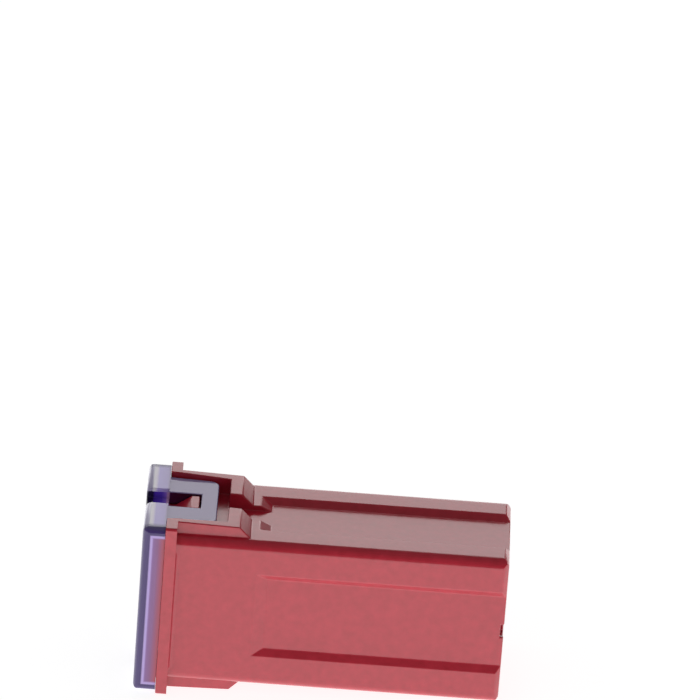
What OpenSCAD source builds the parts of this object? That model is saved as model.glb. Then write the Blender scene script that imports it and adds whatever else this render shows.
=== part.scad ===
// Cartridge fuse: a red housing with two blade sockets in its open end, closed by a clear window cap.
// The fuse lies on a clip face. X runs from the cap to the open end and Z from clip face to clip face.
// Sizes are worked out from the sockets outwards, so the walls follow a change of the sockets.

/* [Overall] */
// Length from the end of the cap to the open end
total_l = 30.5; // [28:0.1:36]
// Height of the cap above the flange
cap_h = 1.9; // [1.8:0.05:3]

/* [Sockets] */
// Width of a socket
socket_w = 9; // [8.4:0.1:11]
// Height of a socket at its mouth
socket_h = 2.9; // [2.6:0.1:3.6]
// Distance between the middles of the two sockets
socket_pitch = 6.1; // [5.8:0.1:7]
// Length of the narrow mouth that the receptacle stops against
mouth_l = 3; // [2:0.1:4]
// Height of the lip between the mouth and the wider socket behind it
seat_lip = 0.2; // [0.15:0.05:0.3]
// Width of the pocket for the locking lance
pocket_w = 3.5; // [3:0.1:4]
// Thickness of the web between the two pockets
web_t = 1; // [0.8:0.1:1.2]

/* [Walls] */
// Wall between a socket and the bottom of a broad channel
side_wall = 0.6; // [0.5:0.05:1]
// Wall between a socket and the bottom of a clip channel
clip_wall = 1.55; // [1.2:0.05:2]
// Rounding of the four long edges
edge_r = 0.85; // [0.5:0.05:1]
// Width of the blind slots beside the web
coreout_w = 1.4; // [1:0.1:1.8]
// Height of the blind slots beside the web
coreout_h = 1.8; // [1.2:0.1:1.9]
// Depth of the blind slots beside the web
coreout_l = 4; // [2:0.5:8]
// Wall outside a blind slot
coreout_wall = 0.45; // [0.4:0.05:0.6]
// Height of the small notch in the end edge of a broad face
notch_h = 1.2; // [0.8:0.1:1.6]
// Depth of the small notch in the end edge of a broad face
notch_l = 0.3; // [0.2:0.1:0.6]

/* [Channels] */
// Width of the channel in a clip face
clip_channel_w = 5.9; // [4.6:0.1:6.2]
// Depth of the channel in a clip face, which is also its sloped side's run
clip_channel_d = 0.5; // [0.4:0.05:0.7]
// Width of the channel in a broad face
broad_channel_w = 7.7; // [6:0.1:8.4]
// Depth of the channel in a broad face
broad_channel_d = 0.4; // [0.3:0.05:0.5]
// Run of the sloped side of the channel in a broad face
broad_channel_run = 0.6; // [0.4:0.05:0.8]
// Length of the ramp at the start of a channel
channel_ramp = 1; // [0.5:0.1:1.5]
// Distance from the guard's chamfer to the start of the channels
channel_gap = 0.65; // [0.3:0.05:2]
// Length of the chamfer on the end of the side rails
end_chamfer = 0.4; // [0.3:0.05:1]

/* [Flange and guards] */
// Thickness of the flange
flange_t = 0.95; // [0.8:0.05:1.5]
// How far the flange stands out from the broad faces
flange_out_y = 0.6; // [0.5:0.05:1.2]
// How far the flange and the guard rails stand out from the clip faces
flange_out_z = 1.1; // [0.9:0.05:1.3]
// Rounding of the flange's corners
flange_r = 0.25; // [0.15:0.05:0.8]
// Radius of the fillet between the flange and a broad face
root_r = 0.45; // [0.2:0.05:0.5]
// How far the guard's top falls from the flange to its foot
guard_fall = 0.15; // [0:0.05:0.3]
// Thickness of a guard rail where it leaves the flange
rail_root_t = 0.55; // [0.4:0.05:0.8]
// Thickness of a guard rail at its foot
rail_t = 0.9; // [0.8:0.05:1.1]
// Length of the guard's foot along the fuse
foot_l = 1.05; // [0.8:0.05:2]

/* [Cap] */
// Thickness of the cap's end plate
cap_t = 1.2; // [0.8:0.05:1.4]
// How far the cap stays inside the flange's outline
cap_inset = 0.15; // [0.05:0.05:0.3]
// Rounding of the cap's edges
cap_r = 0.55; // [0.3:0.05:0.7]
// Length of a tab beyond the cap's seat
tab_l = 4.1; // [3.8:0.05:5]
// Thickness of a tab
tab_t = 1.15; // [0.8:0.05:1.2]
// Rounding of a tab's tip
tab_r = 0.8; // [0.4:0.05:1]
// Length of the bar that closes the latch window
tab_bar = 1.4; // [1.2:0.05:1.6]
// Width of the latch window and of the slot in line with it
window_w = 2.4; // [2.2:0.1:3]
// Depth of the slot in the side of the cap
cap_slot_d = 0.9; // [0.6:0.05:1.1]
// Length of the latch wedge
latch_l = 2.2; // [1.6:0.1:2.2]
// Length of the flat on top of the latch wedge
latch_flat = 0.7; // [0.3:0.1:1]

/* [Element] */
// Thickness of the strip
strip_t = 0.6; // [0.5:0.05:0.7]
// Length of a receptacle
receptacle_l = 12.5; // [11:0.5:13.5]
// Gap for the blade between the base and the rolled edges
blade_gap = 0.8; // [0.7:0.05:0.9]
// Width of the legs up to the link
leg_w = 2.6; // [2:0.1:2.8]
// Inside radius of the bends under the cap
bend_r = 0.5; // [0.4:0.05:0.6]
// Width of the fusible link
link_w = 1.2; // [1:0.1:1.4]
// Distance from the cap's seat to the link
link_drop = 2.25; // [1.8:0.05:3]
// Room between the tin rivet and the partition of the sockets
link_room = 4.6; // [1:0.1:5]
// Radius of the eye in the middle of the link
eye_r = 1.1; // [1:0.05:1.2]
// Radius of the tin rivet's shank
rivet_r = 0.5; // [0.4:0.05:0.6]
// Radius of the tin rivet's heads
rivet_head_r = 0.95; // [0.8:0.05:1.1]
// Height of each of the tin rivet's heads
rivet_head_h = 0.4; // [0.3:0.05:0.6]
// Length of the locking lance
lance_l = 3.6; // [3:0.1:4.5]
// Width of the locking lance
lance_w = 2.4; // [1.8:0.1:2.6]

/* [Clearances] */
// Gap between a tab and the guard rail on each side of it
tab_side_gap = 0.15; // [0.1:0.05:0.3]
// Gap between the end of a tab and the guard's foot
tab_end_gap = 0.95; // [0.5:0.05:1.5]
// Gap under a tab
tab_under_gap = 0.05; // [0.03:0.01:0.15]
// Gap between the latch wedge and the window round it
latch_gap = 0.12; // [0.08:0.01:0.2]
// Gap between the element and the walls of its socket
strip_gap = 0.1; // [0.05:0.05:0.15]

/* [Hidden] */
$fn = 48;
sides = [1, -1];
cut = 1;

// Housing, across
socket_z = socket_pitch / 2;
seat_h = socket_h + 2 * seat_lip;
chamber_h = socket_pitch + seat_h;
floor_w = socket_w + 2 * side_wall;
floor_h = chamber_h + 2 * clip_wall;
body_w = floor_w + 2 * broad_channel_d;
body_h = floor_h + 2 * clip_channel_d;
flange_w = body_w + 2 * flange_out_y;
flange_h = body_h + 2 * flange_out_z;
guard_w = body_w - 2 * edge_r;
guard_end_h = flange_h - 2 * guard_fall;
guard_rise = (guard_end_h - body_h) / 2;
coreout_y = floor_w / 2 - coreout_wall - coreout_w / 2;

// Housing, along
tab_x = cap_h + tab_l;
foot_x = tab_x + tab_end_gap;
guard_x = foot_x + foot_l;
channel_x = guard_x + guard_rise + channel_gap;
mouth_x = total_l - mouth_l;
receptacle_x = mouth_x - receptacle_l;
shoulder_x = receptacle_x + leg_w;

// Cap
cap_w = flange_w - 2 * cap_inset;
cap_side = flange_h - 2 * cap_inset;
tab_z = floor_h / 2 + tab_under_gap;
rail_angle = atan((rail_t - rail_root_t) / (foot_x - cap_h));
window_x = tab_x - tab_bar;
latch_x = window_x - latch_gap;
latch_top = tab_z + tab_t - latch_gap;

// Element
strip_z = socket_z - seat_h / 2 + strip_gap;
receptacle_w = socket_w - 2 * strip_gap;
roll_r = seat_h / 2 - strip_gap;
roll_y = receptacle_w / 2 - roll_r;
leg_y = eye_r + strip_gap + leg_w / 2;
link_x = cap_h + link_drop;
partition_x = link_x + strip_t + rivet_head_h + link_room;
bend_x = link_x + strip_t + bend_r;
bend_z = strip_z - bend_r;
lance_x = shoulder_x + strip_gap;
lance_z = web_t / 2 + strip_gap;

module rounded(w, h, r) {
    square([w - 2 * r, h], center = true);
    square([w, h - 2 * r], center = true);
    for (y = sides, z = sides)
        translate([y * (w / 2 - r), z * (h / 2 - r)])
            circle(r);
}

// A cross-section, drawn as Y and Z, run along the fuse
module along_x(x0, x1) {
    translate([x0, 0, 0])
        rotate([90, 0, 90])
            linear_extrude(x1 - x0)
                children();
}

// A side view, drawn as X and Z, run across the fuse
module along_y(w) {
    rotate([90, 0, 0])
        linear_extrude(w, center = true)
            children();
}

module block(x0, x1, w, h) {
    translate([(x0 + x1) / 2, 0, 0])
        cube([x1 - x0, w, h], center = true);
}

// A block that starts at height z0 and ends at height z1
module slab(x0, x1, w, z0, z1) {
    translate([0, 0, (z0 + z1) / 2])
        block(x0, x1, w, z1 - z0);
}

module both_clip_faces() {
    for (turn = [0, 180])
        rotate([turn, 0, 0])
            children();
}

// Side view of the body, with its open end drawn in by the depth of the channels
module end_profile(face, depth) {
    polygon([
        [0, -face - depth],
        [total_l - 2 * end_chamfer, -face - depth],
        [total_l, depth - face],
        [total_l, face - depth],
        [total_l - 2 * end_chamfer, face + depth],
        [0, face + depth]
    ]);
}

module body() {
    intersection() {
        along_x(cap_h, total_l)
            rounded(body_w, body_h, edge_r);
        along_y(2 * body_w)
            end_profile(body_h / 2, clip_channel_d);
        linear_extrude(2 * body_h, center = true)
            end_profile(body_w / 2, broad_channel_d);
    }
}

// A channel with sloped sides and a sloped end, which runs out at the open end
module channel(width, depth, run, face) {
    intersection() {
        along_x(channel_x - channel_ramp, total_l + cut)
            polygon([
                [run - width / 2, face - depth],
                [width / 2 - run, face - depth],
                [width / 2 + run, face + depth],
                [-width / 2 - run, face + depth]
            ]);
        along_y(2 * width)
            polygon([
                [channel_x + 2 * channel_ramp, face - 2 * depth],
                [total_l + 2 * cut, face - 2 * depth],
                [total_l + 2 * cut, face + 2 * depth],
                [channel_x - 2 * channel_ramp, face + 2 * depth]
            ]);
    }
}

// Fillet in the corner between the flange and a broad face
module root_fillet() {
    translate([cap_h + flange_t, body_w / 2, 0])
        linear_extrude(body_h - 2 * edge_r, center = true)
            difference() {
                translate([-flange_t / 2, -flange_t / 2])
                    square(root_r + flange_t / 2);
                translate([root_r, root_r])
                    circle(root_r);
            }
}

// Raised ground for the guard rails, with a sloped end
module guard() {
    along_y(guard_w)
        polygon([
            [cap_h + flange_t / 2, floor_h / 2],
            [guard_x + guard_rise, floor_h / 2],
            [guard_x + guard_rise, body_h / 2],
            [guard_x, guard_end_h / 2],
            [cap_h + flange_t / 2, flange_h / 2]
        ]);
}

// Half the width between the guard rails, which close in from the flange to the foot
function between_rails(x) =
    guard_w / 2 - rail_root_t - (x - cap_h) * tan(rail_angle);

// Room for a tab between the guard rails, and the slot between their feet
module tab_recess() {
    translate([0, 0, floor_h / 2])
        linear_extrude(flange_h)
            polygon([
                [cap_h - cut, -between_rails(cap_h - cut)],
                [foot_x, -between_rails(foot_x)],
                [foot_x, between_rails(foot_x)],
                [cap_h - cut, between_rails(cap_h - cut)]
            ]);
    slab(cap_h, channel_x + channel_ramp, window_w, floor_h / 2, flange_h / 2 + cut);
}

module latch() {
    along_y(window_w - 2 * latch_gap)
        polygon([
            [latch_x - latch_l, floor_h / 2 - seat_lip],
            [latch_x, floor_h / 2 - seat_lip],
            [latch_x, latch_top],
            [latch_x - latch_flat, latch_top],
            [latch_x - latch_l, floor_h / 2]
        ]);
}

// Sockets, the chamber over their partition, the lance pockets, the blind slots and the end notches
module hollows() {
    block(cap_h - cut, partition_x, socket_w, chamber_h);
    for (z = sides)
        translate([0, 0, z * socket_z]) {
            block(partition_x - cut, mouth_x, socket_w, seat_h);
            block(mouth_x - cut, total_l + cut, socket_w, socket_h);
        }
    for (turn = [0, 180])
        rotate([turn, 0, 0])
            slab(shoulder_x, total_l + cut, pocket_w, web_t / 2, socket_z);
    for (y = sides)
        translate([0, y * coreout_y, 0])
            block(total_l - coreout_l, total_l + cut, coreout_w, coreout_h);
    for (y = sides)
        translate([0, y * floor_w / 2, 0])
            block(total_l - notch_l, total_l + cut, 2 * coreout_wall + seat_lip, notch_h);
}

// Red moulding with the flange, the guards, the latches and the sockets
module housing() {
    color("firebrick")
        difference() {
            union() {
                difference() {
                    union() {
                        body();
                        along_x(cap_h, cap_h + flange_t)
                            rounded(flange_w, flange_h, flange_r);
                        both_clip_faces()
                            guard();
                        both_clip_faces()
                            root_fillet();
                    }
                    both_clip_faces() {
                        tab_recess();
                        channel(clip_channel_w, clip_channel_d, clip_channel_d, body_h / 2);
                        rotate([90, 0, 0])
                            channel(broad_channel_w, broad_channel_d, broad_channel_run, body_w / 2);
                    }
                }
                both_clip_faces()
                    latch();
            }
            hollows();
        }
}

// A side view of the cap, rounded where its end face meets its sides
module cap_profile(w) {
    translate([cap_h, 0])
        rounded(2 * cap_h, w, cap_r);
}

// Half the width of a tab, which follows the guard rails
function tab_side(x) = between_rails(x) - tab_side_gap;

module tab() {
    tip_x = tab_x - tab_r;
    tip_y = tab_side(tip_x) - tab_r / cos(rail_angle);
    side_x = tip_x + tab_r * sin(rail_angle);
    side_y = tip_y + tab_r * cos(rail_angle);
    translate([0, 0, tab_z])
        linear_extrude(tab_t) {
            polygon([
                [cap_h - cap_r, -tab_side(cap_h)],
                [cap_h, -tab_side(cap_h)],
                [side_x, -side_y],
                [tab_x, -tip_y],
                [tab_x, tip_y],
                [side_x, side_y],
                [cap_h, tab_side(cap_h)],
                [cap_h - cap_r, tab_side(cap_h)]
            ]);
            for (y = sides)
                translate([tip_x, y * tip_y])
                    circle(tab_r);
        }
}

// Clear moulding that seats on the flange and snaps over the latches
module cap() {
    color("mediumpurple", 0.5)
        difference() {
            union() {
                intersection() {
                    along_x(0, cap_h)
                        rounded(cap_w, cap_side, cap_r);
                    along_y(2 * cap_w)
                        cap_profile(cap_side);
                    linear_extrude(2 * cap_side, center = true)
                        cap_profile(cap_w);
                }
                both_clip_faces()
                    tab();
            }
            block(cap_t, cap_h + cut, socket_w, chamber_h);
            both_clip_faces() {
                slab(-cut, cap_h, window_w, cap_side / 2 - cap_slot_d, cap_side / 2 + cut);
                slab(cap_h, window_x, window_w, floor_h / 2, cap_side / 2 + cut);
            }
        }
}

// Cross-section of a receptacle: a flat base with both edges rolled over onto the blade
module receptacle_profile() {
    translate([0, strip_z + strip_t / 2])
        square([2 * roll_y, strip_t], center = true);
    for (y = [0, 1])
        mirror([y, 0])
            translate([roll_y, strip_z + roll_r])
                difference() {
                    circle(roll_r);
                    circle(roll_r - strip_t);
                    translate([-2 * roll_r, -2 * roll_r])
                        square([2 * roll_r, roll_r + strip_t + blade_gap]);
                }
}

// Receptacle, neck and leg of one terminal, flat in the strip's plane
module terminal() {
    difference() {
        union() {
            along_x(receptacle_x, mouth_x)
                receptacle_profile();
            translate([0, 0, strip_z])
                linear_extrude(strip_t)
                    polygon([
                        [receptacle_x + cut, -roll_y],
                        [receptacle_x + cut, roll_y],
                        [receptacle_x, roll_y],
                        [receptacle_x - leg_w, leg_y + leg_w / 2],
                        [bend_x, leg_y + leg_w / 2],
                        [bend_x, leg_y - leg_w / 2],
                        [receptacle_x - leg_w, leg_y - leg_w / 2],
                        [receptacle_x, -roll_y]
                    ]);
        }
        slab(shoulder_x, lance_x + lance_l, lance_w + 2 * strip_gap, strip_z - cut, strip_z + strip_t + strip_gap);
    }
    along_y(lance_w)
        polygon([
            [lance_x, lance_z],
            [lance_x + lance_l, strip_z],
            [lance_x + lance_l + strip_t, strip_z],
            [lance_x + lance_l + strip_t, strip_z + strip_t],
            [lance_x + lance_l, strip_z + strip_t],
            [lance_x, lance_z + strip_t]
        ]);
    translate([bend_x, leg_y, bend_z])
        rotate([90, 0, 0])
            rotate([0, 0, 90])
                rotate_extrude(angle = 90)
                    translate([bend_r, -leg_w / 2])
                        square([strip_t, leg_w]);
}

// The link plate under the cap: a crossing strip with an eye, joined to both legs
module link_plate() {
    along_x(link_x, link_x + strip_t)
        difference() {
            union() {
                square([2 * leg_y, link_w], center = true);
                circle(eye_r);
                for (y = sides)
                    translate([y * leg_y - leg_w / 2, y > 0 ? -link_w / 2 : -bend_z])
                        square([leg_w, bend_z + link_w / 2]);
            }
            circle(rivet_r);
        }
}

// One stamped and bent strip with a receptacle at each end and the link in the middle
module element() {
    color("silver")
        union() {
            both_clip_faces()
                terminal();
            link_plate();
        }
}

// Tin rivet, clenched in the eye of the link
module tin_rivet() {
    color("gainsboro")
        translate([link_x, 0, 0])
            rotate([0, 90, 0])
                rotate_extrude()
                    polygon([
                        [0, -rivet_head_h],
                        [rivet_head_r - rivet_head_h / 2, -rivet_head_h],
                        [rivet_head_r, -rivet_head_h / 2],
                        [rivet_head_r, 0],
                        [rivet_r, 0],
                        [rivet_r, strip_t],
                        [rivet_head_r, strip_t],
                        [rivet_head_r, strip_t + rivet_head_h / 2],
                        [rivet_head_r - rivet_head_h / 2, strip_t + rivet_head_h],
                        [0, strip_t + rivet_head_h]
                    ]);
}

// The part's origin is in the middle of the ground under it
module on_ground() {
    translate([-total_l / 2, 0, flange_h / 2])
        children();
}

on_ground() housing();
on_ground() cap();
on_ground() element();
on_ground() tin_rivet();
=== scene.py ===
import math

import bpy
from mathutils import Euler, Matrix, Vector


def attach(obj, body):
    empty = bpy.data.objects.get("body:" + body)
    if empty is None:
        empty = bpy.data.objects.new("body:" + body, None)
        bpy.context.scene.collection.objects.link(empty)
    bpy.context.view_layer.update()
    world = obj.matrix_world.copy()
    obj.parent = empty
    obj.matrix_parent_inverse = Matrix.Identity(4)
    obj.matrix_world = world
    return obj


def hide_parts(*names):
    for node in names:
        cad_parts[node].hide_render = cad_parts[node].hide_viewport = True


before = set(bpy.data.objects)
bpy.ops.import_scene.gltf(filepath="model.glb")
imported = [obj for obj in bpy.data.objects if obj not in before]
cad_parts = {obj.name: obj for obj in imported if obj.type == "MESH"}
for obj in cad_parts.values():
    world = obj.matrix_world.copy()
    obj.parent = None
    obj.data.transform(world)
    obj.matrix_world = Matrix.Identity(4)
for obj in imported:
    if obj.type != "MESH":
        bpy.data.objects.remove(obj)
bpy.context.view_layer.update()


# Fusible element: one strip of copper alloy, stamped and bent into two female receptacles with the link
# between them. It is tin-plated after stamping, which leaves it pale and satin, with fine rolling lines.
mm = 0.001


class Shade:
    """A socket of a shader, which can be used in sums."""

    def __init__(self, tree, socket=None):
        self.tree = tree
        self.socket = socket

    def node(self, kind, settings, inputs, out=0):
        made = self.tree.nodes.new(kind)
        for name, value in settings.items():
            if name == "stops":
                ramp = made.color_ramp.elements
                for place, _ in value[1:-1]:
                    ramp.new(place)
                ramp[0].position = value[0][0]
                ramp[-1].position = value[-1][0]
                for stop, (_, colour) in zip(ramp, value):
                    stop.color = colour
            else:
                setattr(made, name, value)
        for name, value in inputs.items():
            if isinstance(value, Shade):
                self.tree.links.new(value.socket, made.inputs[name])
            else:
                made.inputs[name].default_value = value
        return Shade(self.tree, made.outputs[out] if made.outputs else None)

    def math(self, operation, first, second):
        return self.node("ShaderNodeMath", {"operation": operation}, {0: first, 1: second})

    def __add__(self, other):
        return self.math("ADD", self, other)

    __radd__ = __add__

    def __sub__(self, other):
        return self.math("SUBTRACT", self, other)

    def __rsub__(self, other):
        return self.math("SUBTRACT", other, self)

    def __mul__(self, other):
        return self.math("MULTIPLY", self, other)

    __rmul__ = __mul__

    def blend(self, low, high):
        """A colour between two, by this value."""
        return self.node(
            "ShaderNodeMix", {"data_type": "RGBA"}, {"Factor": self, 6: low, 7: high}, 2)


def paint(red, green, blue):
    """A screen colour, 0 to 255, as the shader takes it."""
    steps = [c / 255 for c in (red, green, blue)]
    return tuple(c / 12.92 if c <= 0.04045 else ((c + 0.055) / 1.055) ** 2.4 for c in steps) + (1.0,)


def new_material(name):
    material = bpy.data.materials.new(name)
    material.use_nodes = True
    material.node_tree.nodes.clear()
    return material, Shade(material.node_tree)


def specks(start, across, detail, stretch=(1, 1, 1)):
    """Cloudy noise fixed to the piece, with spots about that far across."""
    place = start.node("ShaderNodeTexCoord", {}, {}, "Object")
    place = start.node("ShaderNodeMapping", {}, {"Vector": place, "Scale": stretch})
    return start.node("ShaderNodeTexNoise", {}, {"Vector": place, "Scale": 1 / across, "Detail": detail})


def relief(start, strength, height):
    """A bump no deeper than the skin of the piece."""
    return start.node("ShaderNodeBump", {}, {"Strength": strength, "Distance": 0.02 * mm, "Height": height})


def put_on(node, material):
    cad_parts[node].material_slots[0].material = material


rolling_line = 0.12 * mm
along_the_strip = (0.06, 1, 1)
dull_patch = 1.6 * mm
plating_dull = paint(172, 170, 166)
plating_pale = paint(204, 203, 200)

tinned_strip, start = new_material("tinned_strip")
lines = specks(start, rolling_line, 3, along_the_strip)
dull = specks(start, dull_patch, 4)
surface = start.node("ShaderNodeBsdfPrincipled", {}, {
    "Base Color": dull.blend(plating_dull, plating_pale),
    "Metallic": 1.0,
    "Roughness": 0.26 + 0.16 * dull + 0.06 * lines,
    "Normal": relief(start, 0.25, lines)})
start.node("ShaderNodeOutputMaterial", {}, {"Surface": surface})
put_on("element", tinned_strip)


# Tin rivet: a short pin of pure tin, clenched in the eye of the link so that the link melts slowly at a
# small overload. It is cast, so it is duller than the plating, with a faint crystal pattern.
crystal = 0.3 * mm
tin_dull = paint(178, 180, 182)
tin_pale = paint(206, 207, 208)

bare_tin, start = new_material("bare_tin")
place = start.node("ShaderNodeTexCoord", {}, {}, "Object")
crystals = start.node("ShaderNodeTexVoronoi", {}, {"Vector": place, "Scale": 1 / crystal})
surface = start.node("ShaderNodeBsdfPrincipled", {}, {
    "Base Color": crystals.blend(tin_dull, tin_pale),
    "Metallic": 1.0,
    "Roughness": 0.42 + 0.14 * crystals,
    "Normal": relief(start, 0.3, crystals)})
start.node("ShaderNodeOutputMaterial", {}, {"Surface": surface})
put_on("tin_rivet", bare_tin)


# Housing: one injection moulding of red heat-proof thermoplastic. The tool is finely spark-eroded, so the
# faces are satin with a fine grain, and the colour clouds a little where the melt flowed.
housing_rounding = 0.1 * mm
middle_z = 7.85 * mm
flange_back = -12.4 * mm
broad_face = 5.5 * mm
fillet = 0.45 * mm
fillet_end = 5.9 * mm
fade_from = 5.35 * mm
beside = 0.05 * mm
slack = 0.01 * mm
grain_spot = 0.28 * mm
flow_cloud = 4 * mm
mottle_spot = 0.7 * mm
along_the_flow = (0.5, 1, 1)
deep_red = paint(171, 29, 47)
red = paint(180, 32, 51)
bright_red = paint(191, 38, 58)


def soften(node, width, sharp_from, sharp_to, trim):
    """A trimmed copy of a modelled piece, its edges rounded as by a mould, except for those between two X."""
    same_place = 0.0005 * mm
    flat = math.radians(0.5)
    sharp = math.radians(18)
    smooth = math.radians(50)
    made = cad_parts[node]
    piece = bpy.data.objects.new(node + "_soft", made.data.copy())
    bpy.context.scene.collection.objects.link(piece)
    piece.matrix_world = made.matrix_world.copy()
    bpy.ops.object.select_all(action="DESELECT")
    piece.select_set(True)
    bpy.context.view_layer.objects.active = piece
    bpy.ops.mesh.customdata_custom_splitnormals_clear()
    bpy.ops.object.mode_set(mode="EDIT")
    bpy.ops.mesh.select_all(action="SELECT")
    bpy.ops.mesh.remove_doubles(threshold=same_place)
    bpy.ops.mesh.dissolve_limited(angle_limit=flat)
    trim(piece)
    bpy.ops.mesh.select_all(action="SELECT")
    bpy.ops.mesh.remove_doubles(threshold=same_place)
    bpy.ops.mesh.select_mode(type="EDGE")
    bpy.ops.mesh.select_all(action="DESELECT")
    bpy.ops.mesh.edges_select_sharp(sharpness=sharp)
    bpy.ops.object.mode_set(mode="OBJECT")
    weights = piece.data.attributes.new("bevel_weight_edge", "FLOAT", "EDGE")
    for edge in piece.data.edges:
        ends = [piece.data.vertices[v].co.x for v in edge.vertices]
        if edge.select and not all(sharp_from < x < sharp_to for x in ends):
            weights.data[edge.index].value = 1
    bpy.ops.object.modifier_add(type="BEVEL")
    rounding = piece.modifiers[-1]
    rounding.limit_method = "WEIGHT"
    rounding.width = width
    rounding.segments = 2
    rounding.use_clamp_overlap = False
    bpy.ops.object.modifier_apply(modifier=rounding.name)
    bpy.ops.object.mode_set(mode="EDIT")
    bpy.ops.mesh.select_all(action="SELECT")
    bpy.ops.mesh.dissolve_degenerate(threshold=2 * same_place)
    bpy.ops.object.mode_set(mode="OBJECT")
    bpy.ops.object.transform_apply(location=True, rotation=True, scale=True)
    bpy.ops.object.shade_smooth_by_angle(angle=smooth)
    bpy.ops.object.modifier_add(type="WEIGHTED_NORMAL")
    shading = piece.modifiers[-1]
    shading.keep_sharp = True
    shading.weight = 100
    bpy.ops.object.modifier_apply(modifier=shading.name)
    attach(piece, "root")
    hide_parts(node)
    return piece


def run_out_fillets(piece):
    """Let the fillets behind the flange fade out towards their ends."""
    for height in (middle_z - fade_from, middle_z + fade_from):
        bpy.ops.mesh.select_all(action="SELECT")
        bpy.ops.mesh.bisect(plane_co=(0, 0, height), plane_no=(0, 0, 1))
    bpy.ops.object.mode_set(mode="OBJECT")
    for corner in piece.data.vertices:
        x, y, z = corner.co
        behind_flange = -slack < x - flange_back < fillet + slack
        on_broad_face = -slack < abs(y) - broad_face < fillet + slack
        at_end = abs(abs(z - middle_z) - fillet_end) < slack
        if behind_flange and on_broad_face and at_end:
            corner.co = (flange_back, math.copysign(broad_face, y), z)
    bpy.ops.object.mode_set(mode="EDIT")


housing = soften(
    "housing", housing_rounding, flange_back - beside, flange_back + fillet + beside, run_out_fillets)

red_moulding, start = new_material("red_moulding")
grain = specks(start, grain_spot, 4)
flow = specks(start, flow_cloud, 3, along_the_flow)
mottle = specks(start, mottle_spot, 5)
tone = flow.blend(red, bright_red)
tone = (2.4 * mottle - 0.7).blend(deep_red, tone)
surface = start.node("ShaderNodeBsdfPrincipled", {}, {
    "Base Color": tone,
    "Roughness": 0.14 + 0.06 * flow + 0.08 * grain,
    "Specular IOR Level": 0.78,
    "Normal": relief(start, 0.12, grain)})
start.node("ShaderNodeOutputMaterial", {}, {"Surface": surface})
housing.data.materials.clear()
housing.data.materials.append(red_moulding)


# Cap: a clear violet moulding, snapped over the latches of the housing, through which a blown link shows.
# The faces are polished; the colour is painted darker along the rims and walls as painted shade, with painted
# highlights and a painted red glow.
cap_rounding = 0.12 * mm
cap_end = -15.25 * mm
seat = -13.35 * mm
seat_air = 0.02 * mm
beside_seat = 0.1 * mm
haze_cloud = 1.2 * mm
plastic_bend = 1.52
# Places for the colours, in millimetres from the cap's end and from the middle of its width and height.
cap_depth = 1.9
cap_half_height = 7.7
rim_inner = (0.84, 1.0)
broad_wall = (4.9, 5.4)
slot_half_width = 1.25
slot_mouth = 7.4
well_depth = 4.0
plate_across = (5.4, 4.7)
plate_up = (6.75, 6.2)
plate_back = 1.95
pale_violet = paint(214, 203, 243)
paler_violet = paint(220, 210, 246)
body_violet = paint(130, 90, 205)
# Painted shade on the rim, with one painted highlight line; further in, a painted red glow on the broad
# walls, as of light from the flange behind them.
painted_rim_shade_and_highlight_stops = [
    (0.0, paint(104, 94, 136)), (0.25, paint(76, 58, 116)), (0.62, paint(70, 50, 110)),
    (0.72, paint(192, 168, 228)), (0.86, paint(186, 160, 222)), (1.0, paint(140, 104, 160))]
painted_flange_glow_stops = [
    (0.45, paint(140, 104, 162)), (0.7, paint(142, 92, 138)), (0.93, paint(174, 78, 98)),
    (1.0, paint(180, 64, 80))]
# Painted sheen on the clip faces and the tabs, with a painted highlight band and painted shade at the end;
# painted shade in the slot and the latch windows, dark violet with lighter painted bands.
painted_face_sheen_stops = [
    (0.0, paint(172, 166, 192)), (0.22, paint(170, 160, 200)), (0.30, paint(252, 248, 255)),
    (0.40, paint(246, 236, 255)), (0.5, paint(196, 178, 246)), (0.9, paint(188, 170, 232)),
    (1.0, paint(158, 142, 184))]
painted_well_shade_stops = [
    (0.0, paint(30, 22, 56)), (0.13, paint(34, 22, 66)), (0.18, paint(84, 50, 184)),
    (0.32, paint(96, 62, 204)), (0.41, paint(150, 112, 222)), (0.44, paint(205, 160, 208)),
    (0.47, paint(200, 150, 200)), (0.49, paint(72, 20, 62)), (1.0, paint(60, 14, 42))]


def lift_off_seat(piece):
    """Leave a hair of air before the flange, so that the flange shows through the clear end."""
    bpy.ops.object.mode_set(mode="OBJECT")
    for corner in piece.data.vertices:
        if abs(corner.co.x - seat) < slack:
            corner.co.x -= seat_air
    bpy.ops.object.mode_set(mode="EDIT")


def reach(start, axis, origin):
    """How far a point of the piece lies from a place on one axis, in millimetres."""
    place = start.node("ShaderNodeTexCoord", {}, {}, "Object")
    place = start.node("ShaderNodeSeparateXYZ", {}, {"Vector": place}, axis)
    return start.math("ABSOLUTE", (place - origin) * (1 / mm), 0)


def rise(value, zero_at, one_at, kind="LINEAR"):
    """0 to 1, as a value goes from one bound to the other."""
    return value.node("ShaderNodeMapRange", {"interpolation_type": kind}, {
        "Value": value, "From Min": zero_at, "From Max": one_at})


def along_stops(value, stops):
    return value.node("ShaderNodeValToRGB", {"stops": stops}, {"Fac": value})


cap = soften("cap", cap_rounding, seat - beside_seat, seat + beside_seat, lift_off_seat)

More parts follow.
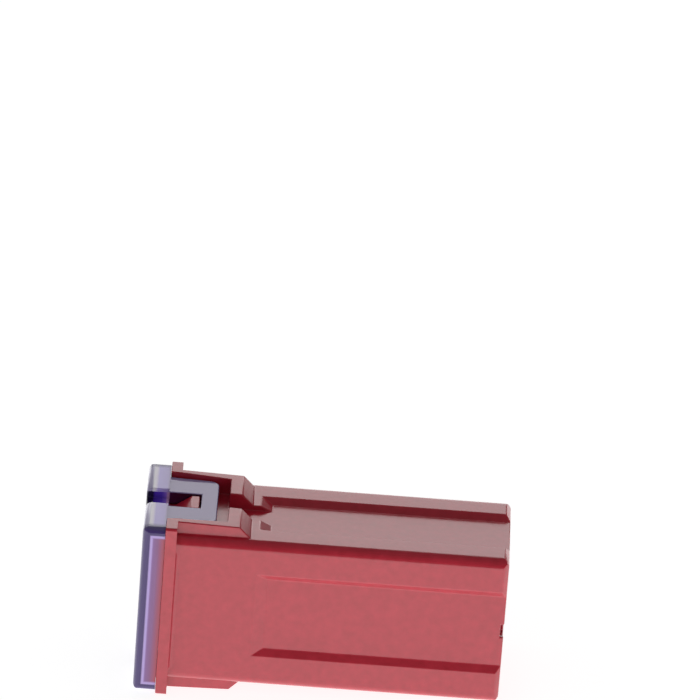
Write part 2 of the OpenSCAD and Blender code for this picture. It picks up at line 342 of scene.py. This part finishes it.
clear_violet, start = new_material("clear_violet")
haze = specks(start, haze_cloud, 3)
along = reach(start, "X", cap_end)
across = reach(start, "Y", 0)
up = reach(start, "Z", middle_z)
edge = start.math("MINIMUM", along, cap_half_height - up)
# Painted shade and a painted highlight line along the rims, and a painted red glow on the broad walls near
# the flange.
painted_wall_shade_and_glow = rise(edge, *rim_inner).blend(
    along_stops(edge, painted_rim_shade_and_highlight_stops), along_stops(along * (1 / cap_depth), painted_flange_glow_stops))
# Painted sheen, highlight band and end shade on the clip faces and tabs, by distance from the cap's end.
painted_face_sheen = along_stops(along * (1 / cap_depth), painted_face_sheen_stops)
tone = rise(across, *broad_wall).blend(painted_face_sheen, painted_wall_shade_and_glow)
# Painted shade in the slot and latch windows, with lighter painted bands, by distance from the cap's end.
painted_well_shade = along_stops(along * (1 / well_depth), painted_well_shade_stops)
painted_slot_shade_mask = start.math("LESS_THAN", across, slot_half_width) * start.math("LESS_THAN", up, slot_mouth)
tone = painted_slot_shade_mask.blend(tone, painted_well_shade)
milky = start.node("ShaderNodeBsdfPrincipled", {}, {
    "Base Color": tone,
    "Roughness": 0.05 + 0.06 * haze,
    "IOR": plastic_bend,
    "Transmission Weight": 0.12})
clear = start.node("ShaderNodeBsdfPrincipled", {}, {
    "Base Color": haze.blend(pale_violet, paler_violet),
    "Roughness": 0.03 + 0.05 * haze,
    "IOR": plastic_bend,
    "Transmission Weight": 0.93})
plate = rise(across, *plate_across) * rise(up, *plate_up) * start.math("LESS_THAN", along, plate_back)
surface = start.node("ShaderNodeMixShader", {}, {"Fac": plate, 1: milky, 2: clear})
tint = start.node("ShaderNodeVolumeAbsorption", {}, {"Color": body_violet, "Density": 200.0})
start.node("ShaderNodeOutputMaterial", {}, {"Surface": surface, "Volume": tint})
cap.data.materials.clear()
cap.data.materials.append(clear_violet)


# Floor: a white sheet under the fuse, which lies on the ends of its guard rails and on the edge of its open
# end. The fuse is drawn level, so the sheet slopes by the small angle at which the real one lies.
sheet_size = 4
rest_x = -7.27 * mm
rest_z = 0.15 * mm
rest_rise = 0.95 * mm
rest_run = 22.1 * mm
sheet_grey = (0.35, 0.35, 0.35, 1)
sheet_light = 1.42
sheet_seen = 0.87

bpy.ops.object.select_all(action="DESELECT")
bpy.ops.mesh.primitive_plane_add(
    size=sheet_size, location=(rest_x, 0, rest_z), rotation=(0, -math.atan2(rest_rise, rest_run), 0))
floor = bpy.context.object
floor.name = "floor"
bpy.ops.object.transform_apply(location=True, rotation=True, scale=True)

white_sheet, start = new_material("white_sheet")
seen = start.node("ShaderNodeLightPath", {}, {}, "Is Camera Ray")
matt = start.node("ShaderNodeBsdfDiffuse", {}, {"Color": sheet_grey})
lit = start.node("ShaderNodeEmission", {}, {"Strength": sheet_light - (sheet_light - sheet_seen) * seen})
both = start.node("ShaderNodeAddShader", {}, {0: matt, 1: lit})
start.node("ShaderNodeOutputMaterial", {}, {"Surface": both})
floor.data.materials.append(white_sheet)


# Studio light: a lit white sheet that curves up behind the fuse, with a soft box low behind it. The room is
# dim overhead and on the side of the camera, so edges that face there stay dark.
box_place = Vector((0, 0.46, 0.24))
box_aim = Vector((0, 0, 0.008))
box_width = 0.34
box_height = 0.44
room_light = 0.34
room_mirrored = 0.1
# Bounds of the lit sheet in a mirrored direction of length 1, each a range over which it fades.
sheet_near = (-0.1, 0.3)
sheet_left = (-0.7, -0.5)
sheet_right = (0.2, 0.4)
sheet_top = (0.55, 0.8)

light = bpy.data.lights.new("light_behind", "AREA")
light.shape = "RECTANGLE"
light.size = box_width
light.size_y = box_height
light.energy = math.pi * box_width * box_height
lamp = bpy.data.objects.new("light_behind", light)
bpy.context.scene.collection.objects.link(lamp)
lamp.location = box_place
lamp.rotation_euler = (box_aim - box_place).to_track_quat("-Z", "Y").to_euler()

studio = bpy.data.worlds.new("studio")
bpy.context.scene.world = studio
studio.use_nodes = True
studio.node_tree.nodes.clear()
start = Shade(studio.node_tree)
seen = start.node("ShaderNodeLightPath", {}, {}, "Is Camera Ray")
through = start.node("ShaderNodeLightPath", {}, {}, "Is Transmission Ray")
mirrored = start.node("ShaderNodeLightPath", {}, {}, "Is Glossy Ray")
direction = start.node("ShaderNodeTexCoord", {}, {}, "Generated")
side = start.node("ShaderNodeSeparateXYZ", {}, {"Vector": direction}, "X")
back = start.node("ShaderNodeSeparateXYZ", {}, {"Vector": direction}, "Y")
height = start.node("ShaderNodeSeparateXYZ", {}, {"Vector": direction}, "Z")
behind = rise(back, *sheet_near, "SMOOTHSTEP")
middle = (1 - rise(side, *sheet_right, "SMOOTHSTEP")) * rise(side, *sheet_left, "SMOOTHSTEP")
low = 1 - rise(height, *sheet_top, "SMOOTHSTEP")
white = start.math("MAXIMUM", seen, through)
sheet_mirrored = room_mirrored + (1 - room_mirrored) * behind * middle * low
level = white + (1 - white) * (mirrored * sheet_mirrored + (1 - mirrored) * room_light)
background = start.node("ShaderNodeBackground", {}, {"Color": (1, 1, 1, 1), "Strength": level})
start.node("ShaderNodeOutputWorld", {}, {"Surface": background})


# Camera: a long lens from far off, a little above the fuse. It is aimed over the fuse, which therefore lies
# low in the frame.
look = Euler((math.radians(62.917), math.radians(-3.931), math.radians(1.598)))
aim = Vector((0.733 * mm, 0, 30.407 * mm))
distance = 742.73 * mm
sensor = 36
focal_pixels = 9000
frame_pixels = 700

lens = bpy.data.cameras.new("camera")
lens.sensor_width = sensor
lens.lens = sensor * focal_pixels / frame_pixels
camera = bpy.data.objects.new("camera", lens)
bpy.context.scene.collection.objects.link(camera)
camera.rotation_euler = look
camera.location = aim + look.to_matrix() @ Vector((0, 0, distance))
bpy.context.scene.camera = camera
bpy.context.scene.view_settings.view_transform = "Standard"
